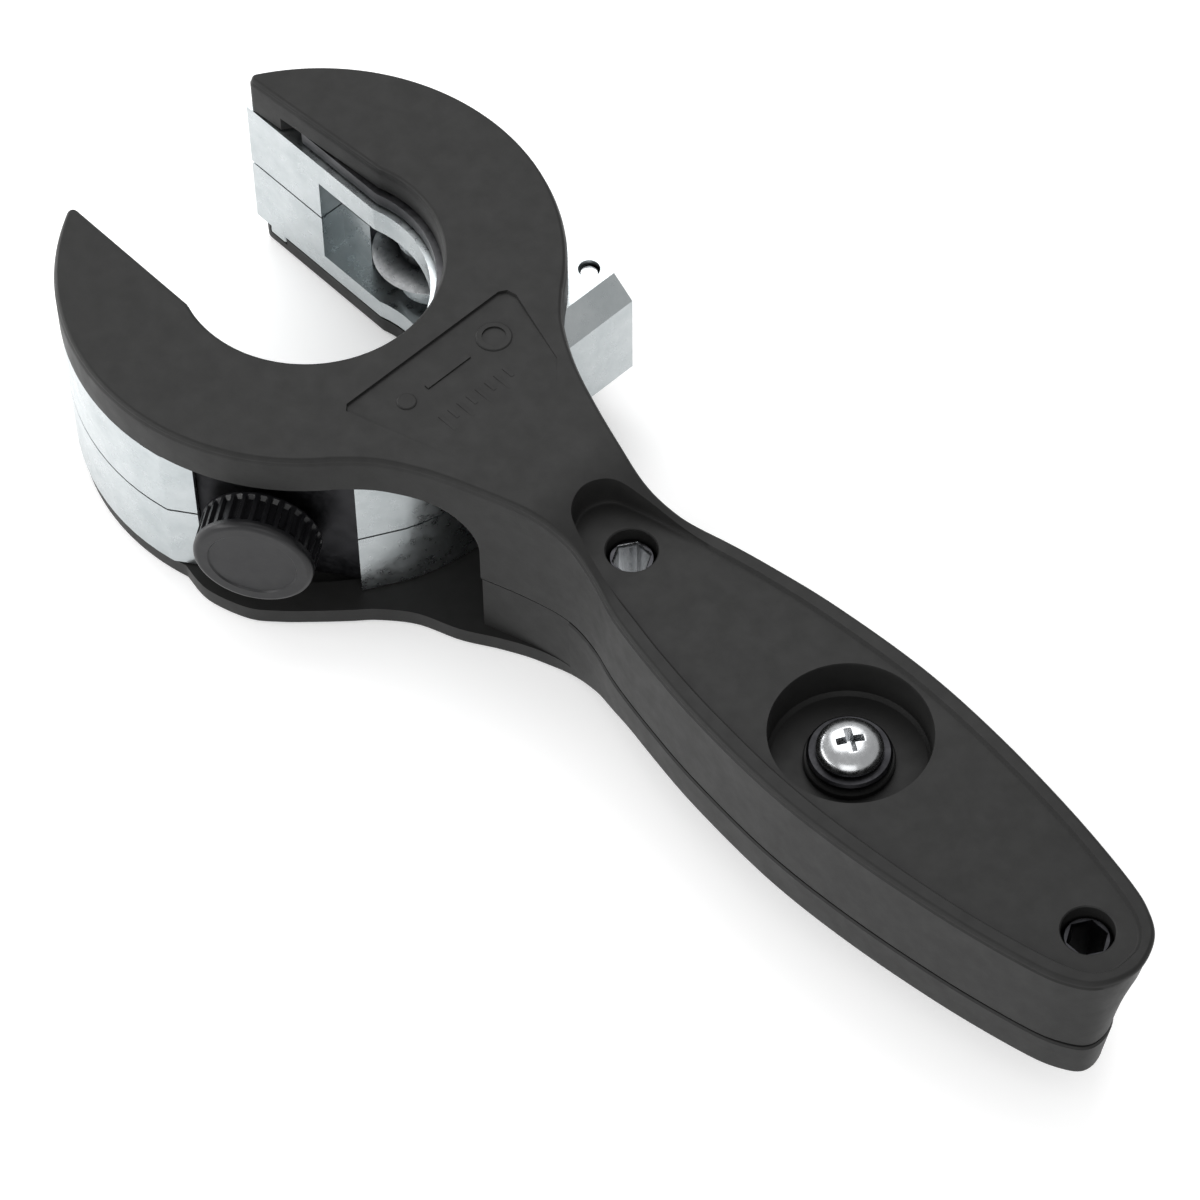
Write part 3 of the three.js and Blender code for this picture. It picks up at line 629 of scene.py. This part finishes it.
def hole_cutter(x, radius, top, chamfer=0.15):
    wide = radius + chamfer
    return lathe("hole", [(radius, -1), (radius, top - chamfer), (wide, top), (wide, top + 2)], x, 0, 48)


def front_shell():
    loop = plate_outline(FRONT_HALF, JAW_R, TIP_ROUND, JAW_HALF, JAW_HALF + 0.1, PRONG_LEAN)
    levels = [(0.1 - WALL_OUT, lambda x: FRONT_BOTTOM, 1.0), (-WALL_OUT, lambda x: FRONT_BOTTOM + 0.35, 0.97)]
    levels += [(-WALL_OUT, wall_height(0.4), 0.62), (-WALL_OUT, wall_height(0.75), 0.24)]
    levels += [(-WALL_OUT, wall_height(0.98), 0.1), (0.0, wall_height(1.0), 0.0)]
    levels += [(*level, 0.0) for level in rounded_rim(front_top, 1, RIM_ROUND)]
    shell = shell_solid("front_shell_piece", loop, levels)
    inset_loop = mirrored(smooth_curve(INSET_HALF, 9))
    slopes = ((0.25, INSET_TOP), (0.0, INSET_TOP + 0.12), (-0.3, HANDLE_TOP), (-0.35, PLATE_TOP + 1))
    face = loft("inset", [[(x, y, z) for x, y in inset(inset_loop, distance)] for distance, z in slopes])
    recess_profile = [(RECESS_R - 0.5, RECESS_FLOOR), (RECESS_R, RECESS_FLOOR + 0.5), (RECESS_R, 26.4),
                      (RECESS_R + 0.05, 26.8), (RECESS_R + 0.3, 27.4)]
    recess = lathe("recess", recess_profile, SCREW_X, 0, 128)
    combine(shell, "DIFFERENCE", face, recess)
    boss = lathe("boss", [(5.8, RECESS_FLOOR - 0.5), (5.8, 21.4), (5.6, 21.6)], SCREW_X, 0, 96)
    combine(shell, "UNION", boss)
    cutters = [
        hole_cutter(NECK_HOLE_X, 3.35, INSET_TOP),
        hole_cutter(END_HOLE_X, 3.35, INSET_TOP),
        lathe("bore", [(2.2, 5), (2.2, 30)], SCREW_X, 0, 48),
        cavity_cutter(),
        lathe("gear_pocket", [(GEAR_POCKET_R, 20), (GEAR_POCKET_R, GEAR_POCKET_TOP)], segments=144),
        panel_cutter(),
    ]
    for angle in PAWL_ANGLES:
        cutters += pawl_cutters(angle)
    combine(shell, "DIFFERENCE", *cutters)
    combine(shell, "UNION", *size_marks())
    return finish_piece(soften(shell), "front_shell", BLACK)


def back_shell():
    loop = plate_outline(BACK_HALF, BACK_JAW_R, BACK_TIP_ROUND, BACK_JAW_HALF)
    levels = [(*level, 1.25) for level in reversed(rounded_rim(back_bottom, -1, BACK_ROUND, 0.3))]
    levels += [(0.0, lambda x: BACK_TOP - 0.35, 1.0), (0.2, lambda x: BACK_TOP, 1.0)]
    shell = shell_solid("back_shell_piece", loop, levels)
    cavity = lathe("cavity", [(CAVITY_R, BACK_PLATE_TOP), (CAVITY_R, 40)], segments=192)
    groove = lathe("groove", [(31.3, 1.8), (31.3, 5)], segments=144)
    combine(groove, "DIFFERENCE", lathe("core", [(28.3, 0), (28.3, 6)], segments=144))
    front_loop = plate_outline(FRONT_HALF, JAW_R, TIP_ROUND, JAW_HALF, JAW_HALF + 0.1, PRONG_LEAN)
    collar = prism("collar", [(37, -40), (56, -40), (56, 40), (37, 40)], BACK_PLATE_TOP, BACK_TOP + 1)
    combine(collar, "DIFFERENCE", prism("neck", front_loop, BACK_PLATE_TOP - 1, BACK_TOP + 2))
    cutters = [
        cavity,
        groove,
        collar,
        lathe("hole", [(4.0, -1), (3.3, 4.9), (3.3, 30)], NECK_HOLE_X, 0, 48),
        lathe("hole", [(3.3, -1), (3.3, 30)], END_HOLE_X, 0, 48),
        lathe("bore", [(2.2, 5), (2.2, 30)], SCREW_X, 0, 48),
        lathe("nut_pocket", [(4.4, 5), (4.4, 10.3)], SCREW_X, 0, 6),
    ]
    combine(shell, "DIFFERENCE", *cutters)
    return finish_piece(soften(shell), "back_shell", BLACK)


# ---- Handle hardware ----

def handle_screw():
    """Pan-head screw with a cross recess that narrows downwards."""
    head_r = 4.3
    profile = [(0.5, 9.6), (1.5, 9.6), (1.85, 10.0), (1.85, 23.2), (head_r - 0.2, 23.2), (head_r, 23.4)]
    for i in range(1, 9):
        a = math.pi / 2 * i / 8
        profile.append((head_r * math.cos(a) ** 0.8 if i < 8 else 0.02, 23.45 + 1.98 * math.sin(a)))
    body = lathe("handle_screw_piece", profile, SCREW_X, 0, 96)
    turn = Matrix.Translation((SCREW_X, 0, 0)) @ Matrix.Rotation(math.radians(58), 4, "Z")
    corners = ((-1, -1), (1, -1), (1, 1), (-1, 1))
    for arm_x, arm_y in ((1.9, 0.5), (0.5, 1.9)):
        rings = [[(arm_x * sx * share, arm_y * sy * share, z) for sx, sy in corners]
                 for share, z in ((0.45, 23.7), (1.0, 25.5))]
        combine(body, "DIFFERENCE", loft("cross", rings, turn))
    return finish_piece(soften(body, 0.08), "handle_screw", BRIGHT)


def handle_washer():
    profile = [(5.15, 21.9), (5.4, 22.15), (5.4, 22.6), (5.1, 22.9)]
    body = lathe("handle_washer_piece", profile, SCREW_X, 0, 96)
    combine(body, "DIFFERENCE", lathe("bore", [(2.15, 20), (2.15, 24)], SCREW_X, 0, 48))
    return finish_piece(soften(body), "handle_washer", OXIDE)


def sleeve(node, x, material):
    low, high = (corner.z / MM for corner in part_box(node))
    outer = lathe(node + "_piece", [(2.8, low), (3.0, low + 0.2), (3.0, high - 0.25), (2.75, high)], x, 0, 72)
    hexagon = [(2.75, low - 1), (2.75, low + 0.1), (2.4, low + 0.5), (2.4, high - 0.4), (2.7, high + 0.1)]
    bore = lathe("bore", hexagon, x, 0, 6)
    combine(outer, "DIFFERENCE", bore)
    return finish_piece(soften(outer), node, material)


# ---- Feed ----

FEED_START = Matrix.Translation((0, 0, MID)) @ Matrix.Rotation(math.pi / 2, 4, "Y")
FEED = Matrix.Rotation(FEED_ANGLE, 4, "Z") @ FEED_START


def round_piece(name, stations, radius_at, segments):
    """Solid round the feed axis whose radius can vary with angle and place along the axis."""
    rings = []
    for u in stations:
        ring = []
        for i in range(segments):
            angle = 2 * math.pi * i / segments
            radius = radius_at(u, angle)
            ring.append((radius * math.cos(angle), radius * math.sin(angle), u))
        rings.append(ring)
    return loft(name, rings, FEED)


def knob():
    """Knurled cup: long flutes with round ends run along its side, and its face is slightly dished."""
    def radius_at(u, angle):
        edge = 0.9
        base = KNOB_R - KNOB_CLEAR
        if u > KNOB_FACE - edge:
            t = (u - KNOB_FACE + edge) / edge
            return base - edge * (1 - math.sqrt(max(0.0, 1 - t * t)))
        inner = min(1.0, max(0.0, (u - KNOB_BACK - 0.25) / 0.5))
        outer = min(1.0, max(0.0, (KNOB_FACE - 1.35 - u) / 0.9))
        window = inner * math.sqrt(max(0.0, 1 - (1 - outer) ** 2))
        wave = 0.5 - 0.5 * math.cos(FLUTES * angle)
        return base - 0.5 * window * min(1.0, max(0.0, (wave - 0.22) / 0.4))

    count = 44
    stations = [KNOB_BACK + (KNOB_FACE - KNOB_BACK - 0.001) * i / count for i in range(count + 1)]
    body = round_piece("knob_piece", stations, radius_at, FLUTES * 14)
    neck = round_piece("neck", [21.7, 22.0, 26.75, 26.7501, 27.65, 27.6501, KNOB_BACK + 1],
                       lambda u, a: 4.3 if 26.75 < u <= 27.65 else (4.7 if u < 21.9 else 5.0), 64)
    combine(body, "UNION", neck)
    bore = round_piece("bore", [20, 36.4], lambda u, a: STEM_R + 0.3, 48)
    combine(body, "DIFFERENCE", bore)
    dish = round_piece("dish", [KNOB_FACE - 0.22, KNOB_FACE - 0.2, KNOB_FACE + 0.6],
                       lambda u, a: 5.6 if u < KNOB_FACE - 0.21 else 5.8 + (u - KNOB_FACE + 0.2), 96)
    combine(body, "DIFFERENCE", dish)
    return finish_piece(soften(body), "knob", KNOB_BLACK)


def feed_stem():
    """Threaded stem with a real helix."""
    def radius_at(u, angle):
        if u < 21.6:
            return 1.1
        phase = (u / STEM_PITCH * 2 - angle / (2 * math.pi)) % 1
        ridge = min(1.0, max(0.0, 2.2 - abs(phase - 0.5) * 6))
        fade = min(1.0, max(0.0, (36.0 - u) / 0.8))
        return STEM_R - 0.5 + 0.47 * ridge * fade

    stations = [19.6, 21.599] + [21.6 + 14.4 * i / 110 for i in range(111)]
    body = round_piece("feed_stem_piece", stations, radius_at, 48)
    return finish_piece(soften(body), "feed_stem", BRIGHT)


# ---- Cutting wheel and spring ----

def cutting_wheel():
    x, y = (JOINTS["wheel_spin"]["pos_m"][0] / MM - HEAD_X, JOINTS["wheel_spin"]["pos_m"][1] / MM)
    half = [(2.5, 12.3), (2.75, 12.55), (3.1, 13.35), (4.2, 13.75), (6.1, 13.95), (7.9, MID - 0.05)]
    profile = half + [(r, 2 * MID - z) for r, z in reversed(half)]
    body = lathe("cutting_wheel_piece", profile, x, y, 160)
    combine(body, "DIFFERENCE", lathe("bore", [(1.8, 10), (1.8, 20)], x, y, 48))
    return finish_piece(soften(body), "cutting_wheel", wheel_steel())


def arm_spring():
    low, high = (Vector(corner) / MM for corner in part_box("arm_spring"))
    centre_x = (low.x + high.x) / 2 - HEAD_X
    turns = 4
    wire = 0.34
    length = high.y - low.y - 2 * wire - 0.1
    bm = bmesh.new()
    rows = []
    steps = 40 * turns
    for i in range(steps + 1):
        t = i / steps
        angle = 2 * math.pi * turns * t
        out = Vector((math.cos(angle), 0, math.sin(angle)))
        centre = Vector((centre_x, low.y + wire + 0.05 + length * t, MID)) + out * 1.66
        ring = []
        for k in range(12):
            a = 2 * math.pi * k / 12
            point = centre + out * wire * math.cos(a) + Vector((0, 1, 0)) * wire * math.sin(a)
            ring.append(bm.verts.new(place(*point)))
        rows.append(ring)
    for a, b in zip(rows, rows[1:]):
        for i in range(12):
            j = (i + 1) % 12
            bm.faces.new((a[i], a[j], b[j], b[i]))
    bm.faces.new(rows[0])
    bm.faces.new(rows[-1])
    return finish_piece(soften(new_object("arm_spring_piece", bm)), "arm_spring", BRIGHT)


front_shell()
back_shell()
handle_screw()
handle_washer()
# The neck sleeve gets the painted bright bore, while the end sleeve, the same kind of part, stays dark oxide:
# painted light and painted shade on two copies of one part.
sleeve("neck_sleeve", NECK_HOLE_X, SLEEVE_PAINTED_BORE)
sleeve("end_sleeve", END_HOLE_X, OXIDE)
knob()
feed_stem()
cutting_wheel()
arm_spring()

for node in ("ring_front", "ring_back"):
    refined(node, ZINC, 0.4, 3)
for node in ("ratchet_ring", "roller_carriage"):
    refined(node, DARK, 0.2)
refined("wheel_arm", ZINC, 0.2)
refined("bearing_plate", OXIDE, 0.2)
for node in ("roller_1", "roller_2", "pawl_1", "pawl_2"):
    refined(node, TOOL, 0.15)
for node in sorted(BODY_OF):
    if not frame["nodes"][node].hide_render:
        refined(node, BRIGHT, 0.08)


# ---- Stage, light and camera ----

def floor():
    bm = bmesh.new()
    for x, y in ((-3, -3), (3, -3), (3, 3), (-3, 3)):
        bm.verts.new((x, y, -0.0001))
    bm.faces.new(bm.verts)
    obj = new_object("floor", bm)
    obj.data.materials.append(floor_paint())


def area_light(name, place_mm, target_mm, width, height, power):
    light = bpy.data.lights.new(name, "AREA")
    light.shape = "RECTANGLE"
    light.size = width * MM
    light.size_y = height * MM
    light.energy = power
    obj = bpy.data.objects.new(name, light)
    bpy.context.scene.collection.objects.link(obj)
    obj.location = Vector(place_mm) * MM
    aim = (Vector(target_mm) - Vector(place_mm)).normalized()
    obj.rotation_mode = "QUATERNION"
    obj.rotation_quaternion = aim.to_track_quat("-Z", "Y")


def soft_room():
    world = bpy.data.worlds.new("soft_room")
    world.use_nodes = True
    background = world.node_tree.nodes["Background"]
    background.inputs["Color"].default_value = (1.0, 1.0, 1.0, 1)
    background.inputs["Strength"].default_value = 0.62
    bpy.context.scene.world = world


def camera():
    """Looks down at the tool from the knob's side, beyond the handle."""
    turn = math.radians(46.75)
    tilt = math.radians(54.44)
    roll = math.radians(0.712)
    right = Vector((math.cos(turn), math.sin(turn), 0))
    level = Vector((-math.sin(turn), math.cos(turn), 0))
    forward = level * math.cos(tilt) - Vector((0, 0, 1)) * math.sin(tilt)
    up = level * math.sin(tilt) + Vector((0, 0, 1)) * math.cos(tilt)
    right, up = (right * math.cos(roll) - up * math.sin(roll), up * math.cos(roll) + right * math.sin(roll))
    target = place(63.65, -8.58, HANDLE_TOP)
    distance = 597.2 * MM
    data = bpy.data.cameras.new("camera")
    data.lens = 142.8
    data.sensor_width = 36.0
    data.clip_start = 0.01
    data.clip_end = 20.0
    obj = bpy.data.objects.new("camera", data)
    bpy.context.scene.collection.objects.link(obj)
    rows = [[right[i], up[i], -forward[i]] for i in range(3)]
    obj.matrix_world = Matrix.Translation(target - forward * distance) @ Matrix(rows).to_4x4()
    bpy.context.scene.camera = obj


floor()
soft_room()
area_light("key", (-260, 260, 620), (40, 0, 10), 520, 520, 2.5)
area_light("fill", (420, -420, 420), (20, 0, 10), 500, 500, 1.2)
area_light("front", (-280, -500, 230), (20, 0, 10), 700, 200, 2.2)
area_light("side", (-520, -60, 60), (0, 0, 20), 260, 360, 1.6)
camera()
bpy.context.scene.view_settings.view_transform = "Standard"
